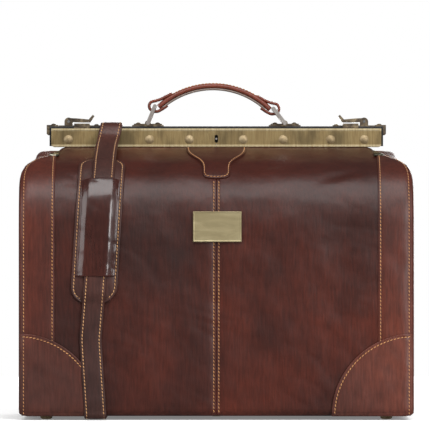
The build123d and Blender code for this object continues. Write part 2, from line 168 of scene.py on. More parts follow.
def metal(
    name, dark, middle, light, rough=(0.24, 0.45), stretch=(1, 1, 1), scale=60.0, metallic=1.0
):
    """Worn metal with streaks, tarnish and fine scratches."""
    mat, nodes, links, shader = new_material(name)
    streak = texture(nodes, links, "ShaderNodeTexNoise", scale, stretch, 6.0, 0.8)
    colour = ramp(nodes, links, streak.outputs["Fac"], [(0.34, dark), (0.5, middle), (0.68, light)])
    links.new(colour, shader.inputs["Base Color"])
    gloss = [(0.35, grey(rough[1])), (0.65, grey(rough[0]))]
    shine = ramp(nodes, links, streak.outputs["Fac"], gloss)
    links.new(shine, shader.inputs["Roughness"])
    fine = texture(nodes, links, "ShaderNodeTexNoise", 420.0, stretch, 4.0)
    links.new(bump(nodes, links, fine.outputs["Fac"], 0.12, 0.0004), shader.inputs["Normal"])
    shader.inputs["Metallic"].default_value = metallic
    return mat


def rail_brass(name):
    """Antique brass with dark drawn streaks, and a painted highlight: lighter gilt along both
    edges, where the rounded folds catch the light.
    """
    mat, nodes, links, shader = new_material(name)
    streak = texture(nodes, links, "ShaderNodeTexNoise", 60.0, (7, 1, 0.7), 7.0, 0.3)
    body = [(0.34, (0.2, 0.138, 0.057)), (0.5, (0.265, 0.188, 0.082)), (0.68, (0.34, 0.252, 0.118))]
    colour = ramp(nodes, links, streak.outputs["Fac"], body)
    patch_noise = texture(nodes, links, "ShaderNodeTexNoise", 26.0, (1.8, 1, 0.8), 4.0, 0.3)
    shade = ramp(nodes, links, patch_noise.outputs["Fac"], [(0.36, grey(0.42)), (0.56, grey(1.0))])
    colour = mix(nodes, links, 0.8, colour, shade, "MULTIPLY")
    place = nodes.new("ShaderNodeTexCoord")
    split = nodes.new("ShaderNodeSeparateXYZ")
    links.new(place.outputs["Object"], split.inputs[0])
    height = nodes.new("ShaderNodeMapRange")
    height.inputs["From Min"].default_value = RAIL_EDGES[0]
    height.inputs["From Max"].default_value = RAIL_EDGES[1]
    links.new(split.outputs["Z"], height.inputs["Value"])
    # Painted highlight: by height, the brass turns a lighter gilt along its lower and upper edges,
    # where the rounded folds catch the light.
    edges = ((0.0, 0.9), (0.1, 0.75), (0.15, 0.0), (0.85, 0.0), (0.89, 0.7), (1.0, 1.0))
    edge_highlight_stops = [(position, grey(value)) for position, value in edges]
    edge_highlight_mask = ramp(nodes, links, height.outputs["Result"], edge_highlight_stops)
    highlight_gilt_stops = [(0.35, (0.42, 0.33, 0.18)), (0.65, (0.68, 0.57, 0.36))]
    bright = ramp(nodes, links, streak.outputs["Fac"], highlight_gilt_stops)
    # Mix in the lighter gilt of the painted edge highlight.
    colour = mix(nodes, links, edge_highlight_mask, colour, bright)
    links.new(colour, shader.inputs["Base Color"])
    shine = ramp(nodes, links, streak.outputs["Fac"], [(0.35, grey(0.5)), (0.65, grey(0.33))])
    links.new(shine, shader.inputs["Roughness"])
    fine = texture(nodes, links, "ShaderNodeTexNoise", 300.0, (4, 1, 0.6), 4.0)
    links.new(bump(nodes, links, fine.outputs["Fac"], 0.2, 0.0005), shader.inputs["Normal"])
    shader.inputs["Metallic"].default_value = 0.55
    return mat


def cloth_material(name, dark, light, scale=900.0, sheen=0.3):
    """Woven cotton or twisted thread."""
    mat, nodes, links, shader = new_material(name)
    warp = texture(nodes, links, "ShaderNodeTexWave", scale, (1, 1, 1), 1.0)
    weft = texture(nodes, links, "ShaderNodeTexWave", scale, (1, 1, 1), 1.0)
    weft.bands_direction = "Z"
    weave = mix(nodes, links, 0.5, warp.outputs["Color"], weft.outputs["Color"])
    soft = texture(nodes, links, "ShaderNodeTexNoise", 40.0, (1, 1, 1), 5.0)
    colour = ramp(nodes, links, soft.outputs["Fac"], [(0.3, dark), (0.7, light)])
    colour = mix(nodes, links, 0.25, colour, weave, "MULTIPLY")
    links.new(colour, shader.inputs["Base Color"])
    links.new(bump(nodes, links, weave, 0.4, 0.0004), shader.inputs["Normal"])
    shader.inputs["Roughness"].default_value = 0.85
    shader.inputs["Sheen Weight"].default_value = sheen
    return mat


# Dark, middle and light colours, then roughness and coat.
FRONT_LEATHER = leather(
    "front_leather", (0.024, 0.005, 0.003), (0.048, 0.009, 0.0048), (0.088, 0.0155, 0.0073),
    (0.36, 0.5), 0.08,
)
PATCH_LEATHER = leather(
    "patch_leather", (0.055, 0.0135, 0.008), (0.085, 0.02, 0.0115), (0.125, 0.03, 0.0165),
    (0.4, 0.54), 0.16,
)
SIDE_LEATHER = leather(
    "side_leather", (0.042, 0.0092, 0.0052), (0.074, 0.0145, 0.0076), (0.112, 0.0225, 0.0108),
    (0.38, 0.52), 0.16,
)
STRAP_LEATHER = leather(
    "strap_leather", (0.026, 0.009, 0.007), (0.05, 0.016, 0.0115), (0.085, 0.028, 0.02),
    (0.42, 0.55), 0.12,
)
SLEEVE_LEATHER = leather(
    "sleeve_leather", (0.02, 0.006, 0.0045), (0.04, 0.01, 0.007), (0.07, 0.018, 0.012),
    (0.22, 0.32), 0.5, 0.08, 0.13,
)
HANDLE_LEATHER = leather(
    "handle_leather", (0.1, 0.022, 0.012), (0.15, 0.033, 0.018), (0.2, 0.05, 0.028)
)
LINER_LEATHER = leather(
    "liner_leather", (0.16, 0.12, 0.1), (0.23, 0.18, 0.155), (0.31, 0.25, 0.22), (0.5, 0.7), 0.0
)
BRASS = rail_brass("antique_brass")
BRASS_PLATE = metal(
    "plate_brass", (0.21, 0.17, 0.087), (0.25, 0.205, 0.108), (0.3, 0.25, 0.14),
    (0.42, 0.52), (1, 1, 4), 30.0, 0.45,
)
RIVET_BRASS = metal(
    "rivet_brass", (0.18, 0.128, 0.062), (0.25, 0.183, 0.096), (0.33, 0.255, 0.145),
    (0.45, 0.58), metallic=0.5,
)
BRONZE = metal(
    "dark_bronze", (0.05, 0.038, 0.028), (0.13, 0.1, 0.072), (0.42, 0.33, 0.21),
    (0.28, 0.45), (1, 1, 1), 110.0, 0.7,
)
PEWTER = metal(
    "pewter", (0.3, 0.26, 0.24), (0.46, 0.42, 0.39), (0.65, 0.6, 0.56), (0.22, 0.38), metallic=0.7
)
CLIP_METAL = metal(
    "clip_metal", (0.03, 0.03, 0.022), (0.1, 0.095, 0.07), (0.6, 0.56, 0.45),
    (0.25, 0.4), (1, 1, 1), 160.0,
)
BLACK_STEEL = metal(
    "black_steel", (0.006, 0.006, 0.007), (0.012, 0.012, 0.013), (0.03, 0.028, 0.027),
    (0.3, 0.45), metallic=0.3,
)
STEEL = metal("plain_steel", (0.4, 0.4, 0.39), (0.55, 0.55, 0.54), (0.68, 0.68, 0.66), (0.2, 0.35))
THREAD = cloth_material("linen_thread", (0.33, 0.135, 0.038), (0.52, 0.24, 0.07), 2600.0)
TAN_THREAD = cloth_material("tan_thread", (0.38, 0.18, 0.06), (0.56, 0.29, 0.105), 2600.0)
LINING = cloth_material("lining_cotton", (0.16, 0.1, 0.055), (0.24, 0.16, 0.095), 1300.0)
BOARD = leather(
    "fibre_board", (0.1, 0.07, 0.04), (0.16, 0.11, 0.07), (0.22, 0.16, 0.1), (0.6, 0.8), 0.0
)

# --- surface of the bag


def catmull(points, step=1.0):
    """A smooth line through points, resampled evenly."""
    pts = np.array(points, float)
    pts = np.concatenate([[2 * pts[0] - pts[1]], pts, [2 * pts[-1] - pts[-2]]])
    out = []
    for i in range(1, len(pts) - 2):
        for t in np.linspace(0, 1, 24, endpoint=False):
            a, b, c, d = pts[i - 1 : i + 3]
            square = (2 * a - 5 * b + 4 * c - d) * t**2
            cube = (3 * b - a - 3 * c + d) * t**3
            out.append(0.5 * (2 * b + (c - a) * t + square + cube))
    out.append(pts[-2])
    out = np.array(out)
    along = np.concatenate([[0], np.cumsum(np.linalg.norm(np.diff(out, axis=0), axis=1))])
    even = np.arange(0, along[-1], step)
    even = np.append(even, along[-1])
    return np.stack([np.interp(even, along, out[:, k]) for k in range(out.shape[1])], 1)


# The leather's cross-section (Y, Z) in millimetres, from under the base up to the rail.
SECTION = catmull(
    [(-98, 4.3), (-104.5, 5.2), (-107.4, 9), (-108, 16), (-108, 70), (-108, 130), (-108, 190)]
    + [(-107.8, 212), (-106.3, 232), (-101, 252), (-90, 270), (-72, 284), (-48, 294)]
    + [(-24, 301.6), (-12.5, 304.7)]
)
S_AXIS = np.concatenate([[0], np.cumsum(np.linalg.norm(np.diff(SECTION, axis=0), axis=1))])
S_TOP = S_AXIS[-1]
TANGENT = np.gradient(SECTION, axis=0)
TANGENT /= np.linalg.norm(TANGENT, axis=1)[:, None]
HALF_WIDTH = 220.2
FRONT_SEED = 7.0
BACK_SEED = 40.0
# Half the width of the faces against height: the shoulders round in under the rail.
CAP_Z = [0, 262, 272, 279, 284.6, 289.2, 293.6, 297.4, 304]
CAP_X = [220.2, 220.2, 219.8, 218.4, 215.4, 208.3, 196.3, 183.5, 178.5]


def at_z(z):
    """Distance along the section where the front face is z high."""
    return float(np.interp(z, SECTION[:, 1], S_AXIS))


def z_at(s):
    return np.interp(s, S_AXIS, SECTION[:, 1])


def half_width(s):
    """Half the width of the front face at a distance along the section."""
    return np.interp(z_at(s), CAP_Z, CAP_X)


def clouds(x, y, scale, seed):
    """Smooth noise over a plane."""
    spots = zip(np.ravel(x), np.ravel(y))
    flat = [noise.noise(Vector((a / scale, b / scale, seed))) for a, b in spots]
    return np.reshape(flat, np.shape(x))


# Creases of the front leather: both ends (X, Z), width and depth, in millimetres.
FOLDS = [
    (108, 264, 172, 280, 5.0, 2.0),
    (18, 279, 84, 284, 5.0, 1.6),
    (44, 232, 118, 262, 16.0, 1.6),
    (112, 176, 172, 232, 14.0, 2.2),
    (-112, 282, -40, 279, 5.5, 1.3),
    (-98, 250, -40, 240, 18.0, 1.3),
    (-170, 262, -120, 274, 6.0, 0.8),
]


def relief(x, s, seed):
    """How far the leather stands out of its section, in millimetres."""
    z = z_at(s)
    # The stuffed face swells, most at the middle; everything fades out at its edges.
    wide = np.clip(1 - (np.abs(x) / 215) ** 4, 0, 1)
    out = 2.4 * wide * np.sin(np.pi * np.clip((z - 4) / 296, 0, 1)) ** 0.8
    fade = np.clip((302 - z) / 20, 0.15, 1) * np.clip((z - 6) / 14, 0, 1)
    broad = 1.5 * clouds(x, s * 0.6, 62, seed)
    slanted = 0.7 * clouds(x + 0.35 * s, s, 24, seed + 5.1)
    out = out + fade * (broad + slanted)
    out = out + fade * 0.22 * clouds(x, s, 8, seed + 9.3)
    # Fine creases, in some places only.
    crease = clouds(x * 0.5 + s * 0.9, x * 0.25, 18, seed + 3.3)
    where = np.clip(clouds(x, s, 70, seed + 1.7) + 0.3, 0, 1)
    out = out - fade * 0.5 * np.exp(-((crease / 0.07) ** 2)) * where
    for x0, z0, x1, z1, width, depth in FOLDS if seed < BACK_SEED else ():
        run_x, run_z = x1 - x0, z1 - z0
        along = ((x - x0) * run_x + (z - z0) * run_z) / (run_x**2 + run_z**2)
        along = np.clip(along, -0.3, 1.3)
        off = np.hypot(x - x0 - along * run_x, z - z0 - along * run_z)
        ends = np.clip(1.15 - 2.2 * np.abs(along - 0.5), 0, 1)
        out = out - fade * depth * np.exp(-((off / width) ** 2)) * ends
    # Gathers under the rail, and the groove of the centre seam.
    pleat = np.exp(-((302 - z) / 9.0)) * np.sin(x / 6.5 + 2.5 * clouds(x, 0 * x, 40, seed + 2))
    out = out + 0.3 * pleat * np.clip((303 - z) / 3, 0, 1)
    groove = np.clip((z - 8) / 10, 0, 1) * np.clip((301 - z) / 8, 0, 1)
    return out - 0.9 * np.exp(-((x / 7.0) ** 2)) * groove


def surface(x, s, height, back=False):
    """Points at a height above the leather, in millimetres."""
    x = np.asarray(x, float)
    s = np.asarray(s, float)
    y = np.interp(s, S_AXIS, SECTION[:, 0])
    z = np.interp(s, S_AXIS, SECTION[:, 1])
    ty = np.interp(s, S_AXIS, TANGENT[:, 0])
    tz = np.interp(s, S_AXIS, TANGENT[:, 1])
    rise = relief(x, s, BACK_SEED if back else FRONT_SEED) + height
    past = np.clip((np.abs(x) - (half_width(s) - 11)) / 11, 0, 1)
    sink = 7.0 * (1 - np.sqrt(np.clip(1 - past**2, 0, 1)))
    y = y - tz * (rise - sink)
    z = z + ty * (rise - sink)
    if back:
        y = -y
    return np.stack([x, y, z], -1)


# --- mesh helpers


def make_object(name, verts, faces, material, smooth=True):
    """A mesh object from points in millimetres."""
    mesh = bpy.data.meshes.new(name)
    mesh.from_pydata([tuple(v) for v in np.asarray(verts) * MM], [], faces)
    mesh.validate()
    bm = bmesh.new()
    bm.from_mesh(mesh)
    bmesh.ops.recalc_face_normals(bm, faces=bm.faces)
    bm.to_mesh(mesh)
    bm.free()
    mesh.materials.append(material)
    for polygon in mesh.polygons:
        polygon.use_smooth = smooth
    mesh.set_sharp_from_angle(angle=math.radians(52))
    obj = bpy.data.objects.new(name, mesh)
    bpy.context.scene.collection.objects.link(obj)
    return obj


def closed_grid(top, under):
    """Vertices and faces of a sheet from its two faces."""
    rows, cols = top.shape[:2]
    verts = np.concatenate([top.reshape(-1, 3), under.reshape(-1, 3)])
    count = rows * cols
    faces = []
    for i in range(rows - 1):
        for j in range(cols - 1):
            a = i * cols + j
            quad = (a, a + 1, a + cols + 1, a + cols)
            faces.append(quad)
            faces.append(tuple(count + k for k in quad[::-1]))
    rim = list(range(cols)) + [i * cols + cols - 1 for i in range(1, rows)]
    rim += [(rows - 1) * cols + j for j in range(cols - 2, -1, -1)]
    rim += [i * cols for i in range(rows - 2, 0, -1)]
    for a, b in zip(rim, rim[1:] + rim[:1]):
        faces.append((a, count + a, count + b, b))
    return verts, faces


# Rows of points that a rounded, stitched edge needs.
EDGE = np.array([0, 0.15, 0.45, 0.9, 1.5, 2.3, 3.0, 3.5, 4.0, 5.0])


def spread(length, gap):
    """Distances across a strip, close together at both edges."""
    half = length / 2
    edge = EDGE * min(1.0, half / 6.5)
    inner = np.linspace(edge[-1], half, max(2, int(math.ceil((half - edge[-1]) / gap)) + 1))
    left = np.concatenate([edge, inner[1:]])
    return np.concatenate([left, (length - left[:-1])[::-1]])


def edge_height(distance, thickness, groove, inset):
    """Rounded edge of a leather piece, with the groove its stitching pulls in."""
    reach = min(thickness, 1.5)
    near = np.clip(distance / reach, 0, 1)
    rise = thickness * (0.25 + 0.75 * np.sqrt(np.clip(1 - (1 - near) ** 2, 0, 1)))
    return rise - groove * np.exp(-(((distance - inset) / 0.8) ** 2))


# How far each point of a patch's upper face is from its edge.
FROM_EDGE = {}


def patch(
    name, s0, s1, left, right, base, thickness, material, back=False,
    gap=6.0, groove=0.3, inset=3.5, crown=None,
):
    """A leather piece laid on the bag between two side lines."""
    rows = s0 + spread(s1 - s0, gap)
    lefts = np.array([left(s) for s in rows])
    rights = np.array([right(s) for s in rows])
    width = float(np.max(rights - lefts))
    cols = spread(width, gap) / width
    grid_s = np.repeat(rows[:, None], len(cols), 1)
    grid_x = lefts[:, None] + (rights - lefts)[:, None] * cols[None, :]
    across = np.minimum(grid_x - lefts[:, None], rights[:, None] - grid_x)
    ends = np.minimum(grid_s - s0, s1 - grid_s)
    away = np.minimum(across, ends)
    height = base + edge_height(away, thickness, groove, inset)
    if crown:
        height = height + crown(grid_x, grid_s, across, ends)
    top = surface(grid_x, grid_s, height, back)
    under = surface(grid_x, grid_s, np.full_like(height, base - 0.1), back)
    FROM_EDGE[name] = away.ravel()
    return make_object(name, *closed_grid(top, under), material)


def puff(piece, hem, cap):
    """Swell a padded piece with the cloth solver; its sewn hem and its back are held."""
    points = piece.data.vertices
    rest = np.array([point.co[:] for point in points])
    away = FROM_EDGE[piece.name]
    held = piece.vertex_groups.new(name="held")
    held.add([k for k in range(len(points)) if k >= len(away) or away[k] < hem], 1.0, "REPLACE")
    cloth = piece.modifiers.new("puff", "CLOTH")
    cloth.settings.vertex_group_mass = "held"
    cloth.settings.use_pressure = True
    cloth.settings.uniform_pressure_force = 4.0
    cloth.settings.effector_weights.gravity = 0.0
    cloth.collision_settings.use_collision = False
    cloth.point_cache.frame_start = 1
    cloth.point_cache.frame_end = 20
    for frame in range(1, 21):
        bpy.context.scene.frame_set(frame)
    solved = piece.evaluated_get(bpy.context.evaluated_depsgraph_get())
    shift = np.array([point.co[:] for point in solved.data.vertices]) - rest
    far = np.maximum(np.linalg.norm(shift, axis=1), 1e-9)
    shift *= (cap * MM * np.tanh(far / (cap * MM)) / far)[:, None]
    piece.modifiers.remove(cloth)
    piece.vertex_groups.remove(held)
    for point, place_now in zip(points, rest + shift):
        point.co = place_now
    piece.data.update()
    bpy.context.scene.frame_set(1)


def resample(points, pitch):
    """Points spaced evenly along a line."""
    points = np.asarray(points, float)
    along = np.concatenate([[0], np.cumsum(np.linalg.norm(np.diff(points, axis=0), axis=1))])
    count = max(2, int(round(along[-1] / pitch)) + 1)
    even = np.linspace(0, along[-1], count)
    return np.stack([np.interp(even, along, points[:, k]) for k in range(points.shape[1])], 1)


# One stitch: five rings of six points.
BEAD = [(u, v) for u in (-0.92, -0.5, 0.0, 0.5, 0.92) for v in range(6)]
BEAD_FACES = [
    (r * 6 + c, r * 6 + (c + 1) % 6, r * 6 + 6 + (c + 1) % 6, r * 6 + 6 + c)
    for r in range(4)
    for c in range(6)
]
BEAD_FACES += [tuple(range(5, -1, -1)), tuple(range(24, 30))]


def between(side, near, far):
    """Left and right side lines of a piece from near to far of the centre, on one side."""
    if side < 0:
        return lambda s: -far(s), lambda s: -near(s)
    return near, far


def stitches(name, lines, material=THREAD, pitch=4.0, length=3.1, thick=0.52):
    """Rows of thread: lines are lists of 3-D points and outward directions."""
    verts = []
    faces = []
    for points, ups in lines:
        joined = resample(np.concatenate([points, ups], 1), pitch)
        for a, b in zip(joined[:-1], joined[1:]):
            middle = (a[:3] + b[:3]) / 2
            run = b[:3] - a[:3]
            run /= max(np.linalg.norm(run), 1e-6)
            up = a[3:] + b[3:]
            up = up - run * np.dot(up, run)
            up /= max(np.linalg.norm(up), 1e-6)
            side = np.cross(up, run)
            first = len(verts)
            for u, v in BEAD:
                girth = thick * math.sqrt(max(0.05, 1 - abs(u) ** 3))
                sag = 0.25 * abs(u) ** 2
                spin = math.pi * v / 3
                lean = 0.28 * u
                verts.append(
                    middle
                    + run * (u * length / 2)
                    + side * (girth * math.cos(spin) + lean)
                    + up * (girth * 0.85 * math.sin(spin) - sag)
                )
            faces += [tuple(first + k for k in face) for face in BEAD_FACES]
    return make_object(name, verts, faces, material)


def laid_line(points, height, back=False):
    """A line of (X, distance) points laid on the leather, with its outward directions."""
    pts = resample(points, 2.0)
    low = surface(pts[:, 0], pts[:, 1], height, back)
    high = surface(pts[:, 0], pts[:, 1], height + 1.0, back)
    return low, high - low


def inset_line(points, distance, closed=False):
    """A line of (X, distance) points moved to its left."""
    pts = np.asarray(points, float)
    if closed:
        ahead = np.roll(pts, -1, axis=0)
        behind = np.roll(pts, 1, axis=0)
    else:
        ahead = np.concatenate([pts[1:], pts[-1:]])
        behind = np.concatenate([pts[:1], pts[:-1]])
    run = ahead - behind
    run /= np.maximum(np.linalg.norm(run, axis=1), 1e-6)[:, None]
    return pts + distance * np.stack([-run[:, 1], run[:, 0]], 1)


def place(obj, moving, node=None, slot=None, also=()):
    """Rides a piece on a body, or for the panel bakes it where it is, and hides the CAD parts it
    stands for.
    """
    if moving == "panel":
        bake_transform(obj)
    else:
        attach(obj, moving)
    if node:
        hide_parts(node, *also)
    return obj


# --- leather panels

PANEL_ROWS = np.concatenate([np.arange(0, S_TOP, 2.6), [S_TOP]])
LAYER = 1.7
CORNER_RADIUS = 92.0
CORNER_Z = 4
EDGE_ROW = 5.4
SEAM_ROW = 2.8
HALF_COLS = spread(220, 3.4)
PANEL_COLS = np.concatenate([-HALF_COLS[::-1][:-1], HALF_COLS]) / 220


def panel(name, rows, material, back):
    """One face of the bag between two heights."""
    grid_s = np.repeat(rows[:, None], len(PANEL_COLS), 1)
    grid_x = half_width(grid_s) * PANEL_COLS[None, :]
    rows_sunk = 0.45 * np.exp(-((np.abs(grid_x) - SEAM_ROW) ** 2))
    height = 0.35 - (rows_sunk + 0.8 * np.exp(-((grid_x / 0.35) ** 2)))
    top = surface(grid_x, grid_s, height, back)
    under = surface(grid_x, grid_s, np.full_like(grid_s, -1.9), back)
    return make_object(name, *closed_grid(top, under), material)


for back in (False, True):
    face = "back" if back else "front"
    whole = panel(face + "_leather", PANEL_ROWS, FRONT_LEATHER, back)
    moving = BAG if back else "panel"
    place(whole, moving, face + "_panel", "front_leather", (face + "_upper_panel",))

    # Side strips, sewn along both edges, under the corner patches.
    threads = []
    for side, hand in ((-1, "left"), (1, "right")):
        s_low = at_z(12)
        s_high = at_z(295.2)

        def outer(s):
            return float(half_width(s)) - 0.3

        def inner(s):
            return float(np.interp(s, [s_high - 5, s_high], [180.0, 181.5]))

        label = hand + "_" + face
        lines = between(side, inner, outer)
        piece = patch(label + "_strip", s_low, s_high, *lines, 0.4, LAYER, SIDE_LEATHER, back)
        place(piece, moving, label + "_side_strip", "side_leather")
        # The rows start above the corner patch, which covers the foot of the strip.
        in_rows = np.linspace(at_z(86), s_high - 3, 80)
        out_rows = np.linspace(at_z(97), s_high - 3, 90)
        inside = [(side * (inner(s) + 2.7), s) for s in in_rows]
        outside = [(side * (outer(s) - EDGE_ROW), s) for s in out_rows]
        threads += [laid_line(inside, 2.1, back), laid_line(outside, 2.0, back)]

        # Quarter-round corner patches.
        s_bottom = at_z(6)
        s_up = at_z(96) - 0.3
        nudge = 0.01 if side < 0 else 0.0

        def bow(s):
            rise = float(z_at(s)) - CORNER_Z
            return HALF_WIDTH - math.sqrt(max(0.01, CORNER_RADIUS**2 - rise**2)) - nudge

        lines = between(side, bow, outer)
        corner = patch(
            label + "_corner", s_bottom, s_up, *lines, 2.0, LAYER, PATCH_LEATHER, back, gap=4.0
        )
        place(corner, BAG, face + "_corner_patches" if side < 0 else None, "front_leather")
        arc = []
        reach = CORNER_RADIUS - 3.4
        for a in np.radians(np.linspace(2.5, 87.5, 70)):
            x = side * (HALF_WIDTH - reach * math.cos(a))
            arc.append((x, at_z(CORNER_Z + reach * math.sin(a))))
        threads.append(laid_line(arc, 3.75, back))
        edge_rows = np.linspace(at_z(7), at_z(90), 40)
        out_edge = [(side * (outer(s) - EDGE_ROW), s) for s in edge_rows]
        threads.append(laid_line(out_edge, 3.6, back))
    for x in (-SEAM_ROW, SEAM_ROW):
        seam_top = at_z(300 if back else 266)
        seam = [(x, s) for s in np.linspace(at_z(8), seam_top, 120)]
        threads.append(laid_line(seam, 0.35, back))
    if back:
        hem = [(x, at_z(299.5)) for x in np.linspace(-172, 172, 160)]
        threads.append(laid_line(hem, 0.4, back))
    place(stitches(face + "_stitching", threads), moving, None, "front_leather")

# Centre tab under the lock.
TAB_Z = [268.0, 268.4, 269.5, 271, 273.5, 281, 284.5, 287.5, 291, 294.5, 298, 302.5]
TAB_X = [9.0, 11.8, 13.8, 15.0, 15.6, 15.7, 17.0, 20.0, 25.5, 30.5, 33.2, 34.0]
tab_s = [at_z(z) for z in TAB_Z]


def tab_half(s):
    return float(np.interp(s, tab_s, TAB_X))


tab = patch(
    "centre_tab_leather", tab_s[0], tab_s[-1], lambda s: -tab_half(s), tab_half, 0.6, 1.8,
    FRONT_LEATHER, gap=3.0, inset=2.4,
)
place(tab, "panel", "centre_tab", "front_leather")
tab_left = inset_line([(-tab_half(s), s) for s in np.linspace(tab_s[0], tab_s[-1], 80)], -2.2)
tab_line = [p for p in tab_left if p[1] > tab_s[0] + 1.8]
tab_loop = [(-x, s) for x, s in tab_line[::-1]] + [(x, s) for x, s in tab_line]
tab_sewn = stitches("tab_stitching", [laid_line(tab_loop, 2.35)], pitch=3.8, length=3.0)
place(tab_sewn, "panel", None, "front_leather")

# --- gussets


def sheet_from(name, outside, inside, material):
    return make_object(name, *closed_grid(outside, inside), material)


# Half the width of the gusset's bulge between the faces, against height.
LOBE_Z = [0, 291, 296, 298.6, 300, 300.6]
LOBE_X = [205.6, 205.6, 204.6, 202.5, 199, 196]
# The folds stop here, clear of the frame legs inside them.
LEG_CLEAR = 174.6


def section_y(z):
    """How far forward the face stands at a height."""
    return np.interp(z, SECTION[:, 1], SECTION[:, 0])


for side, hand in ((-1, "left"), (1, "right")):
    seed = 3.0 if side < 0 else 13.0
    # Straight lower gusset.
    ys = np.linspace(-101.5, 101.5, 90)
    zs = np.concatenate([[4.6, 5.4, 8], np.arange(12, 232, 3.0), [231.5]])
    gy, gz = np.meshgrid(ys, zs)
    dent = 2.5 * np.sin(np.pi * np.clip((gz - 10) / 260, 0, 1)) * np.cos(gy / 70)
    dent = dent + 1.2 * clouds(gy, gz, 45, seed)
    press = 2.2 * np.exp(-((gy / 5.0) ** 2)) * np.clip((gz - 120) / 90, 0, 1)
    tuck = 2.4 * np.clip(1 - gz / 10, 0, 1)
    edge = 2.0 * np.clip((np.abs(gy) - 95) / 6.5, 0, 1) ** 2
    gx = side * (218.2 + 0.5 * dent - press - tuck - edge)
    outside = np.stack([gx, gy, gz], -1)
    inside = outside - np.array([side * 2.0, 0, 0])
    lower = sheet_from(hand + "_gusset_leather", outside, inside, SIDE_LEATHER)
    place(lower, BAG, hand + "_gusset", "side_leather")

    rows = np.concatenate([np.arange(227, 300, 2.0), [300.5]])

    def fold_x(y, z, wall):
        """The upper gusset folds inwards towards the hinge line."""
        room = np.interp(z, CAP_Z, CAP_X) - 3.0
        proud = np.maximum(room, np.interp(z, LOBE_Z, LOBE_X) - 0.8)
        part = np.clip((y - wall) / np.maximum(-3.5 - wall, 1.0), 0, 1)
        room = room + (proud - room) * np.sin(np.pi * np.clip(part / 0.9, 0, 1)) ** 0.6
        deep = np.clip(room - LEG_CLEAR, 0, 34) * np.clip((z - 226) / 46, 0, 1)
        ripple = 0.8 * clouds(y * 1.2, z, 16, seed + 2) * np.clip((z - 230) / 20, 0, 1)
        ripple = ripple * np.clip(part * 6, 0, 1)
        return room - deep * part**3 + np.minimum(ripple, 0.6)

    wall = section_y(rows) + 3.2
    frac = np.linspace(0, 1, 46)
    fy = wall[:, None] + (-4.0 - wall)[:, None] * frac[None, :]
    fz = np.repeat(rows[:, None], len(frac), 1)
    fx = fold_x(fy, fz, wall[:, None])
    for back in (False, True):
        outside = np.stack([side * fx, -fy if back else fy, fz], -1)
        inside = outside - np.array([side * 1.3, 0, 0])
        label = hand + ("_gusset_back_fold" if back else "_gusset_front_fold")
        upper = sheet_from(label + "_leather", outside, inside, SIDE_LEATHER)
        place(upper, BAG if back else "panel", label, "side_leather")

    # The pleat at the hinge line, fixed in place; on the bag it fans out as the frame opens.
    py = np.linspace(-4.6, 4.6, 41)
    pz = np.concatenate([np.arange(229, 300, 2.5), [300.5]])
    gy, gz = np.meshgrid(py, pz)
    fan_wall = (section_y(pz) + 3.2)[:, None]
    gx = fold_x(-np.abs(gy), gz, fan_wall)
    outside = np.stack([side * (gx - 0.15), gy, gz], -1)
    inside = outside - np.array([side * 0.8, 0, 0])
    pleat = sheet_from(hand + "_gusset_pleat", outside, inside, SIDE_LEATHER)
    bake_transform(pleat)

# --- base, lining


def rounded_ring(half_x, half_y, radius, count=16):
    """Points round a rectangle with rounded corners."""
    out = []
    for cx, cy, start in ((1, 1, 0), (-1, 1, 90), (-1, -1, 180), (1, -1, 270)):
        for k in range(count + 1):
            a = math.radians(start + 90 * k / count)
            x = cx * (half_x - radius) + radius * math.cos(a)
            out.append((x, cy * (half_y - radius) + radius * math.sin(a)))
    return np.array(out)


def ring_shell(name, rings, material, cap_first=True, cap_last=False):
    """A skin over a stack of rings with the same number of points."""
    verts = np.concatenate(rings)
    n = len(rings[0])
    faces = []
    for r in range(len(rings) - 1):
        for k in range(n):
            a = r * n + k
            b = r * n + (k + 1) % n
            faces.append((a, b, b + n, a + n))
    if cap_first:
        faces.append(tuple(range(n - 1, -1, -1)))
    if cap_last:
        faces.append(tuple(range((len(rings) - 1) * n, len(rings) * n)))
    return make_object(name, verts, faces, material)


def level_ring(points, z):
    return np.concatenate([points, np.full((len(points), 1), z)], 1)


ring = rounded_ring(215.2, 103.0, 10)
ring = resample(np.concatenate([ring, ring[:1]]), 5.0)[:-1]
lining_rings = []
for z, grow in [(9.7, 0.0)] + [(10 + k * 4.0, 0.0) for k in range(50)] + [(211.0, 0.8)]:
    wave = 0.7 * clouds(ring[:, 0] + ring[:, 1], np.full(len(ring), z), 22, 5.0)
    shrink = 1 - (1.0 + wave - grow) / 215
    lining_rings.append(level_ring(ring * shrink[:, None], z))
inner_rings = [np.array(r) for r in lining_rings[::-1]]
for r in inner_rings:
    r[:, :2] *= 1 - 1.3 / 110
    r[:, 2] = np.maximum(r[:, 2], 11.2)
lining = ring_shell("lining_bag", lining_rings + inner_rings, LINING, True, True)
place(lining, BAG, "lining", "lining_fabric")

xs = np.linspace(-217, 217, 120)
ys = np.linspace(-101, 101, 60)
gx, gy = np.meshgrid(xs, ys)
sag = 0.35 * clouds(gx, gy, 40, 2.0)
base_under = np.stack([gx, gy, 4.35 + sag * 0.5], -1)
base_top = np.stack([gx, gy, np.full_like(gx, 6.4)], -1)
base = sheet_from("base_leather", base_under, base_top, FRONT_LEATHER)
place(base, BAG, "base_panel", "front_leather")

# Flat pocket sewn to the back of the lining.
px, pz = np.meshgrid(np.linspace(-94, 94, 70), np.linspace(61, 174, 50))
belly = 1.1 * np.sin(np.pi * (px + 94) / 188) * np.sin(np.pi * (pz - 61) / 113)
belly = belly + 0.4 * clouds(px, pz, 30, 8)
pocket_front = np.stack([px, 99.6 - belly, pz], -1)
pocket_back = np.stack([px, 100.6 - 0.5 * belly, pz], -1)
pocket = sheet_from("pocket_cloth", pocket_front, pocket_back, LINING)
place(pocket, BAG, "inner_pocket", "lining_fabric")

# --- strap

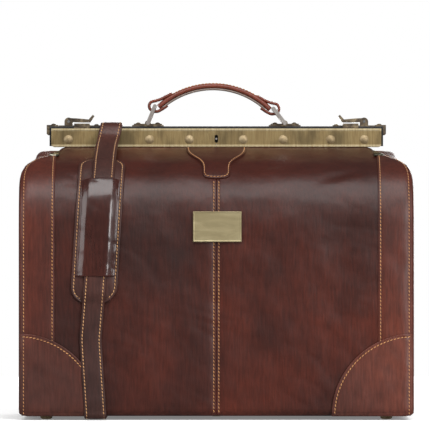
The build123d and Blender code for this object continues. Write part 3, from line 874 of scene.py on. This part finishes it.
STRAP_HALF = 12.5
STRAP_THICK = 2.7
# Middle of the strap across the bag, against height.
STRAP_Z = [-5, 4, 88, 269, 305, 332, 345]
STRAP_X = [-134.5, -134.5, -140, -126, -123.5, -118, -117.8]


def strap_x(z):
    return np.interp(z, STRAP_Z, STRAP_X)


def strap_lift(z):
    """Height of the strap's back above the leather on the front face."""
    return np.interp(z, [0, 20, 100, 126, 140, 280, 292], [2.9, 2.9, 0.7, 2.2, 5.0, 5.0, 6.0])


front_z = np.concatenate([np.arange(10, 250, 10.0), np.arange(250, 289, 5.0)])
front_s = np.array([at_z(z) for z in front_z])
on_front = [surface(strap_x(z), s, strap_lift(z)) for z, s in zip(front_z, front_s)]
back_z = np.concatenate([np.arange(298, 230, -6.0), [222]])
on_back = [surface(strap_x(z), at_z(z), 1.4, True) for z in back_z]


def spot(y, z):
    return np.array([float(strap_x(z)), y, z])


def spots(*points):
    return [spot(y, z) for y, z in points]


# From the buckle down the back, under the base, up the front, over the rails and down again.
ROUTE = spots((112.2, 188), (112.4, 150), (112.6, 90), (112.4, 30), (111.8, 12), (110.4, 6))
ROUTE += spots((106.5, 3.7), (60, 3.6), (0, 3.6), (-60, 3.6), (-106, 3.7), (-110.8, 5.5))
ROUTE += on_front
ROUTE += spots((-44, 303.6), (-29.5, 310.4), (-22.0, 316.2), (-17.8, 322.5), (-14.2, 327.4))
ROUTE += spots((-9.5, 329.7), (-4, 330.3), (5, 330.0), (12.5, 329.3), (16.2, 326.8))
ROUTE += spots((17.6, 321.5), (17.8, 314), (18.4, 309), (22.5, 304.6))
ROUTE += on_back
ROUTE += spots((112.4, 212), (116.2, 200), (116.4, 180), (116.4, 150), (116.2, 113))
strap_path = catmull(ROUTE, 1.5)


def band(path, half, thick, groove_at=3.0):
    """Upper and lower points of a flat strap laid on a path, with its directions."""
    run = np.gradient(path, axis=0)
    run /= np.linalg.norm(run, axis=1)[:, None]
    across = np.tile(np.array([1.0, 0, 0]), (len(path), 1))
    across -= run * np.sum(across * run, 1)[:, None]
    across /= np.linalg.norm(across, axis=1)[:, None]
    up = np.cross(across, run)
    edge = [0, 0.2, 0.6, 1.2, 2.2, 2.7, 3.0, 3.4, 4.2, 6.5]
    cols = np.concatenate([edge, np.linspace(9, half, 3)])
    cols = np.concatenate([cols, (2 * half - cols[:-1])[::-1]])
    away = np.minimum(cols, 2 * half - cols)
    top_h = edge_height(away, thick, 0.35, groove_at) + 0.25 * np.sin(np.pi * cols / (2 * half))
    flat = path[:, None] + across[:, None] * (cols - half)[None, :, None]
    top = flat + up[:, None] * top_h[None, :, None]
    low = flat + up[:, None] * 0.02
    return top, low, across, up


strap_top, strap_low, strap_across, strap_up = band(strap_path, STRAP_HALF, STRAP_THICK)


def nearest(point):
    return int(np.argmin(np.linalg.norm(strap_path - point, axis=1)))


cut_low = nearest(surface(strap_x(200), at_z(200), strap_lift(200)))
cut_rail = nearest(spot(-17.8, 322.5))
cut_back = nearest(spot(16.2, 326.8))
last = len(strap_path) - 1
SPANS = [
    ("strap_lower", 0, cut_low, BAG),
    ("strap_front", cut_low, cut_rail, "panel"),
    ("strap_over", cut_rail, cut_back, "arch"),
    ("strap_back", cut_back, last, BAG),
]
for name, first, end, moving in SPANS:
    part = slice(first, end + 1)
    piece = sheet_from(name, strap_top[part], strap_low[part], STRAP_LEATHER)
    lines = []
    for offset in (-9.5, 9.5):
        pts = strap_path[part] + strap_across[part] * offset + strap_up[part] * 2.6
        lines.append((pts, strap_up[part]))
    sewn = stitches(name + "_stitching", lines, TAN_THREAD, 3.9)
    for obj in (piece, sewn):
        if moving == "arch":
            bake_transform(obj)
        else:
            place(obj, moving, None, "strap_leather")
    if name == "strap_lower":
        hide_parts("shoulder_strap")

# The strap's end folded round the buckle bar.
BAR_Y, BAR_Z, BAR_REACH = 112.4, 190.0, 2.5
turns = np.radians(np.linspace(-95, 215, 40))
fold_ring = [(BAR_Y + BAR_REACH * math.cos(a), BAR_Z + BAR_REACH * math.sin(a)) for a in turns]
for k, (x0, x1) in enumerate(((-143.2, -133.8), (-128.8, -119.4))):
    faces_of_loop = []
    for grow in (0.75, -0.7):
        rows = []
        for y, z in fold_ring:
            dy, dz = (y - BAR_Y) / BAR_REACH, (z - BAR_Z) / BAR_REACH
            rows.append([(x, y + grow * dy, z + grow * dz) for x in np.linspace(x0, x1, 8)])
        faces_of_loop.append(np.array(rows))
    loop = sheet_from("buckle_fold_%d" % k, *faces_of_loop, STRAP_LEATHER)
    place(loop, BAG, None, "strap_leather")

# Keeper: a leather loop round both layers.
KEEPER_X, KEEPER_Y = -136.4, 114.9
keeper_ring = rounded_ring(14.6, 6.0, 3.0, 6)
keeper_out = []
keeper_in = []
for z in np.linspace(130.5, 138.5, 9):
    swell = 0.5 * math.sin(math.pi * (z - 130.5) / 8)
    wide, deep = 1 + swell / 30, 1 + swell / 14
    for rings, fx, fy in ((keeper_out, wide, deep), (keeper_in, 0.93, 0.82)):
        loop = [(KEEPER_X + x * fx, KEEPER_Y + y * fy, z) for x, y in keeper_ring]
        rings.append(np.array(loop))
keeper_rings = keeper_out + keeper_in[::-1] + keeper_out[:1]
keeper = ring_shell("keeper_loop", keeper_rings, STRAP_LEATHER, False, False)
place(keeper, BAG, "strap_keeper", "strap_leather")

# Shoulder pad: a thin stuffed leather pad under the strap.
PAD_TOP = 288.5
PAD_LOW = 128.5
PAD_MID = (PAD_TOP + PAD_LOW) / 2
SLEEVE_LOW = 159.5
SLEEVE_TOP = 264.5
SLEEVE_HALF = 22.0
s_pad0 = at_z(PAD_LOW)
s_pad1 = at_z(PAD_TOP)


def pad_middle(s):
    return -132.2 + (float(z_at(s)) - PAD_MID) * 0.061


def pad_half(s, half=26.2, bend=20.0):
    near = min(s - s_pad0, s_pad1 - s)
    if near >= bend:
        return half
    return max(0.4, half * math.sqrt(max(0.0, 1 - ((bend - near) / bend) ** 2.4)))


def pad_left(s):
    return pad_middle(s) - pad_half(s)


def pad_right(s):
    return pad_middle(s) + pad_half(s)


pad = patch(
    "shoulder_pad", s_pad0, s_pad1, pad_left, pad_right, 0.8, 2.6,
    STRAP_LEATHER, gap=3.0, groove=0.5, inset=3.6,
    crown=lambda x, s, a, e: 1.2 * np.clip((np.minimum(a, e) - 4.5) / 8, 0, 1) ** 0.7,
)
puff(pad, 4.6, 1.6)
place(pad, "panel", "strap_pad", "strap_leather")
outline = [(pad_left(s), s) for s in np.linspace(s_pad0 + 0.05, s_pad1 - 0.05, 400)]
outline += [(pad_right(s), s) for s in np.linspace(s_pad1 - 0.05, s_pad0 + 0.05, 400)]
outline = resample(outline + outline[:1], 1.5)[:-1]
inner_line = inset_line(outline, -3.2, closed=True)
inner_line = np.concatenate([inner_line, inner_line[:1]])
pad_sewn = stitches("pad_stitching", [laid_line(inner_line, 3.2)], TAN_THREAD, 3.9)
place(pad_sewn, "panel", None, "strap_leather")

# Glossy sleeve that holds the strap to the pad.
s_sleeve0 = at_z(SLEEVE_LOW)
s_sleeve1 = at_z(SLEEVE_TOP)
sleeve = patch(
    "pad_sleeve_leather", s_sleeve0, s_sleeve1,
    lambda s: pad_middle(s) - SLEEVE_HALF, lambda s: pad_middle(s) + SLEEVE_HALF,
    3.3, 1.2, SLEEVE_LEATHER, gap=2.5, groove=0.0,
    crown=lambda x, s, a, e: 4.7 * np.clip((a - 1.5) / 8.0, 0, 1) ** 0.8,
)
place(sleeve, "panel", "pad_sleeve", "strap_leather")

# --- nameplate


def name_plate():
    """A plain brass plate with a raised border."""
    low_x, high_x, low_z, high_z = -26.0, 28.0, 198.0, 232.0
    border = [0, 0.3, 0.7, 1.1, 1.4, 1.8, 2.2]
    u = np.concatenate([border, [3.5], np.linspace(5, 27, 12)])
    xs = np.concatenate([low_x + u, (high_x - u[:-1])[::-1]])
    v = np.concatenate([border, [3.5], np.linspace(5, 17, 7)])
    zs = np.concatenate([low_z + v, (high_z - v[:-1])[::-1]])
    gx, gz = np.meshgrid(xs, zs)
    away_x = np.minimum(gx - low_x, high_x - gx)
    away = np.minimum(away_x, np.minimum(gz - low_z, high_z - gz))
    rise = np.interp(away, border + [6], [0.7, 1.35, 1.5, 1.5, 1.25, 1.05, 1.05, 1.1])
    rise = rise + 0.12 * clouds(gx, gz, 6, 4.0)
    seat = surface(np.array([1.0]), np.array([at_z(215)]), 2.2)[0, 1]
    tilt = (gz - 215) * 0.025
    top = np.stack([gx, seat - rise + tilt, gz], -1)
    under = np.stack([gx, np.full_like(gx, seat + 0.3) + tilt, gz], -1)
    return sheet_from("name_plate", top, under, BRASS_PLATE)


place(name_plate(), BAG, "nameplate", "antique_brass")

# --- handle

HANDLE_Y = 7.2
RING_X = 77.5
RING_Z = 331.9
RING_REACH = 21.0


def ring_top(sign, lean):
    """Top (X, Z) of a handle ring that leans inwards by some degrees."""
    a = math.radians(lean)
    return sign * (RING_X - RING_REACH * math.sin(a)), RING_Z + RING_REACH * math.cos(a)


LEFT_TOP = ring_top(-1, 22.0)
RIGHT_TOP = ring_top(1, 37.5)


def arc_through(a, b, c, count):
    """Points on the circle through three points."""
    (ax, ay), (bx, by), (cx, cy) = a, b, c
    d = 2 * (ax * (by - cy) + bx * (cy - ay) + cx * (ay - by))
    aa, bb, cc = ax**2 + ay**2, bx**2 + by**2, cx**2 + cy**2
    ux = (aa * (by - cy) + bb * (cy - ay) + cc * (ay - by)) / d
    uy = (aa * (cx - bx) + bb * (ax - cx) + cc * (bx - ax)) / d
    radius = math.hypot(ax - ux, ay - uy)
    start = math.atan2(ay - uy, ax - ux)
    end = math.atan2(cy - uy, cx - ux)
    turns = np.linspace(start, end, count)
    return [(ux + radius * math.cos(t), uy + radius * math.sin(t)) for t in turns]


def handle_strap(name, over, under, half, material):
    """A leather strap between an upper and a lower line, rounded along its sides."""
    over = np.array(over)
    under = np.array(under)
    edge = np.array([0.75, 0.86, 0.93, 0.975, 0.995, 1])
    across = np.concatenate([-edge[::-1], np.linspace(-0.6, 0.6, 9), edge])
    rings = []
    middle = (over + under) / 2
    for k in range(len(over)):
        ring_points = []
        for a in across:
            full = math.sqrt(max(0.0, 1 - abs(a) ** 9))
            crown = 0.12 * (1 - a * a)
            p = middle[k] + (over[k] - middle[k]) * (full + crown)
            ring_points.append((p[0], HANDLE_Y + half * a, p[1]))
        for a in across[::-1]:
            full = math.sqrt(max(0.0, 1 - abs(a) ** 9))
            p = middle[k] + (under[k] - middle[k]) * full * 0.999 - (0, 0.004)
            ring_points.append((p[0], HANDLE_Y + half * a, p[1]))
        rings.append(np.array(ring_points))
    return ring_shell(name, rings, material, True, True)


core = arc_through((-64.8, 349.6), (-4.5, 373.4), (60.2, 346.8), 64)
core_over = inset_line(core, 3.7)
core_seam = inset_line(core, -1.6)
core_low = inset_line(core, -3.8)
grip = handle_strap("handle_leather_top", core_over, core_seam, 12.2, HANDLE_LEATHER)
place(grip, "handle", "handle_grip", "handle_leather")
liner_top = core_seam[2:-2] - (0, 0.1)
liner = handle_strap("handle_leather_under", liner_top, core_low[2:-2], 11.8, LINER_LEATHER)
place(liner, "handle", "handle_liner", "handle_lining_leather")
handle_lines = []
for hand, top, sign in (("left", LEFT_TOP, -1), ("right", RIGHT_TOP, 1)):
    # The flap runs down over the end of the grip, round the ring and back underneath.
    turn = [(19.4, 14.2), (13.3, 11.3), (7.5, 8.3), (1.5, 6.2), (-3.6, 5.0), (-6.2, 1.8)]
    turn += [(-5.9, -2.4), (-2.6, -5.4), (2.4, -5.9), (6.2, -4.4), (10.0, -2.0), (14.2, 0.9)]
    smooth = catmull([(top[0] - sign * dx, top[1] + dz) for dx, dz in turn], 0.8)
    outer, inner = inset_line(smooth, 1.6 * sign), inset_line(smooth, -1.6 * sign)
    loop = handle_strap(hand + "_handle_loop", outer, inner, 11.4, HANDLE_LEATHER)
    place(loop, "handle", None, "handle_leather")
    outer_face = inset_line(smooth, 1.85 * sign)
    for k in (3, 24):
        x, z = outer_face[k]
        pts = np.array([(x, HANDLE_Y + y, z) for y in np.linspace(-9.0, 9.0, 8)])
        handle_lines.append((pts, np.tile([0.5 * sign, 0, 0.86], (len(pts), 1))))
for y in (-9.6, 9.6):
    arc = core_over[9:-9]
    pts = np.stack([arc[:, 0], np.full(len(arc), HANDLE_Y + y), arc[:, 1] + 0.15], 1)
    ups = np.gradient(pts, axis=0)
    ups = np.stack([-ups[:, 2], 0 * ups[:, 0], ups[:, 0]], 1)
    ups /= np.linalg.norm(ups, axis=1)[:, None]
    handle_lines.append((pts, ups))
handle_sewn = stitches("handle_stitching", handle_lines, TAN_THREAD, 3.9)
place(handle_sewn, "handle", None, "handle_leather")

# --- CAD metal pieces

FINISH = {
    BRASS: "front_rail_cover back_rail_cover",
    RIVET_BRASS: "front_rail_rivets back_rail_rivets base_feet",
    BRASS_PLATE: "strap_buckle buckle_prong",
    BRONZE: "top_rivets left_latch_base right_latch_base left_latch_lever right_latch_lever "
    "hasp_tongues left_end_bracket right_end_bracket left_handle_mount right_handle_mount",
    PEWTER: "key_post left_handle_ring right_handle_ring",
    STEEL: "front_legs back_legs hinge_pins latch_pins lock_bolt lock_strike",
    BLACK_STEEL: "back_rail front_rail_core lock_case",
    CLIP_METAL: "front_corner_clips back_corner_clips",
    BOARD: "base_board",
}
# Round pieces that keep the edges they have.
ROUND = "front_rail_rivets back_rail_rivets top_rivets base_feet hinge_pins latch_pins key_post"
for node, material in [(node, mat) for mat, nodes in FINISH.items() for node in nodes.split()]:
    obj = frame["nodes"][node]
    obj.data.materials.clear()
    obj.data.materials.append(material)
    if node not in ROUND.split():
        bevel = obj.modifiers.new("worn edges", "BEVEL")
        bevel.width = 0.00035
        bevel.segments = 2
        bevel.limit_method = "ANGLE"
        bevel.angle_limit = math.radians(35)
        bevel.harden_normals = False

# Small clips at the top inner corners, bent to the leather.
for back in (False, True):
    face = "back" if back else "front"
    for side in (-1, 1):
        z0, z1 = at_z(292.5), at_z(299.0)
        lines = between(side, lambda s: 176.8, lambda s: 187.5)
        name = face + ("_clip_left" if side < 0 else "_clip_right")
        clip = patch(name, z0, z1, *lines, 2.3, 1.1, CLIP_METAL, back, 1.5, 0.0)
        node = face + "_corner_clips" if side < 0 else None
        place(clip, BAG if back else "panel", node, "gunmetal")

# --- the stage


def area_light(name, position, aim_z, size, power):
    """A soft rectangular lamp that faces the bag's centre line at a height."""
    data = bpy.data.lights.new(name, "AREA")
    data.shape = "RECTANGLE"
    data.size, data.size_y = size
    data.energy = power
    lamp = bpy.data.objects.new(name, data)
    lamp.location = position
    beam = Vector((0, 0, aim_z)) - Vector(position)
    lamp.rotation_euler = beam.to_track_quat("-Z", "Y").to_euler()
    bpy.context.scene.collection.objects.link(lamp)


mesh = bpy.data.meshes.new("floor")
FLOOR_RADIUS = 1.5
FLOOR_Z = -0.0003
turns = np.linspace(0, 2 * math.pi, 97)[:-1]
rim_points = [(FLOOR_RADIUS * math.cos(t), FLOOR_RADIUS * math.sin(t), FLOOR_Z) for t in turns]
mesh.from_pydata(rim_points, [], [tuple(range(96))])
floor = bpy.data.objects.new("floor", mesh)
bpy.context.scene.collection.objects.link(floor)
floor_mat, _, _, floor_shader = new_material("pale_floor")
floor_shader.inputs["Base Color"].default_value = (0.9, 0.9, 0.9, 1)
floor_shader.inputs["Roughness"].default_value = 0.9
floor_shader.inputs["Emission Color"].default_value = (1, 1, 1, 1)
floor_shader.inputs["Emission Strength"].default_value = 0.2
mesh.materials.append(floor_mat)
floor.visible_glossy = False

world = bpy.data.worlds.new("studio")
bpy.context.scene.world = world
world.use_nodes = True
sky = world.node_tree.nodes
dim = sky["Background"]
dim.inputs["Strength"].default_value = 0.15
bright = sky.new("ShaderNodeBackground")
bright.inputs["Strength"].default_value = 1.0
for background in (dim, bright):
    background.inputs["Color"].default_value = (1, 1, 1, 1)
path = sky.new("ShaderNodeLightPath")
either = sky.new("ShaderNodeMixShader")
link = world.node_tree.links.new
link(path.outputs["Is Camera Ray"], either.inputs[0])
link(dim.outputs[0], either.inputs[1])
link(bright.outputs[0], either.inputs[2])
link(either.outputs[0], sky["World Output"].inputs[0])

# Name, position, height aimed at, size in metres, watts.
LAMPS = (
    ("left_strip", (-2.2, -1.35, 1.0), 0.18, (1.1, 1.7), 23),
    ("right_strip", (2.3, -1.1, 0.9), 0.18, (0.4, 1.6), 9),
    ("right_soft", (2.0, -2.9, 0.9), 0.15, (1.0, 1.3), 56),
    ("top_front", (0.1, -1.5, 2.0), 0.25, (2.8, 1.3), 68),
    ("back_soft", (0.5, 2.5, 0.7), 0.18, (1.8, 1.0), 55),
)
for lamp_row in LAMPS:
    area_light(*lamp_row)

CAMERA = (-0.0015, -6.0, 0.228)
# The view is this wide, in metres, in the plane at FOCUS_Y.
VIEW_WIDTH = 0.4816
FOCUS_Y = -0.07
SENSOR = 36
camera_data = bpy.data.cameras.new("camera")
camera_data.sensor_width = SENSOR
camera_data.lens = SENSOR * (FOCUS_Y - CAMERA[1]) / VIEW_WIDTH
camera = bpy.data.objects.new("camera", camera_data)
camera.location = CAMERA
camera.rotation_euler = (math.radians(90), 0, 0)
bpy.context.scene.collection.objects.link(camera)
bpy.context.scene.camera = camera
bpy.context.scene.view_settings.view_transform = "Standard"
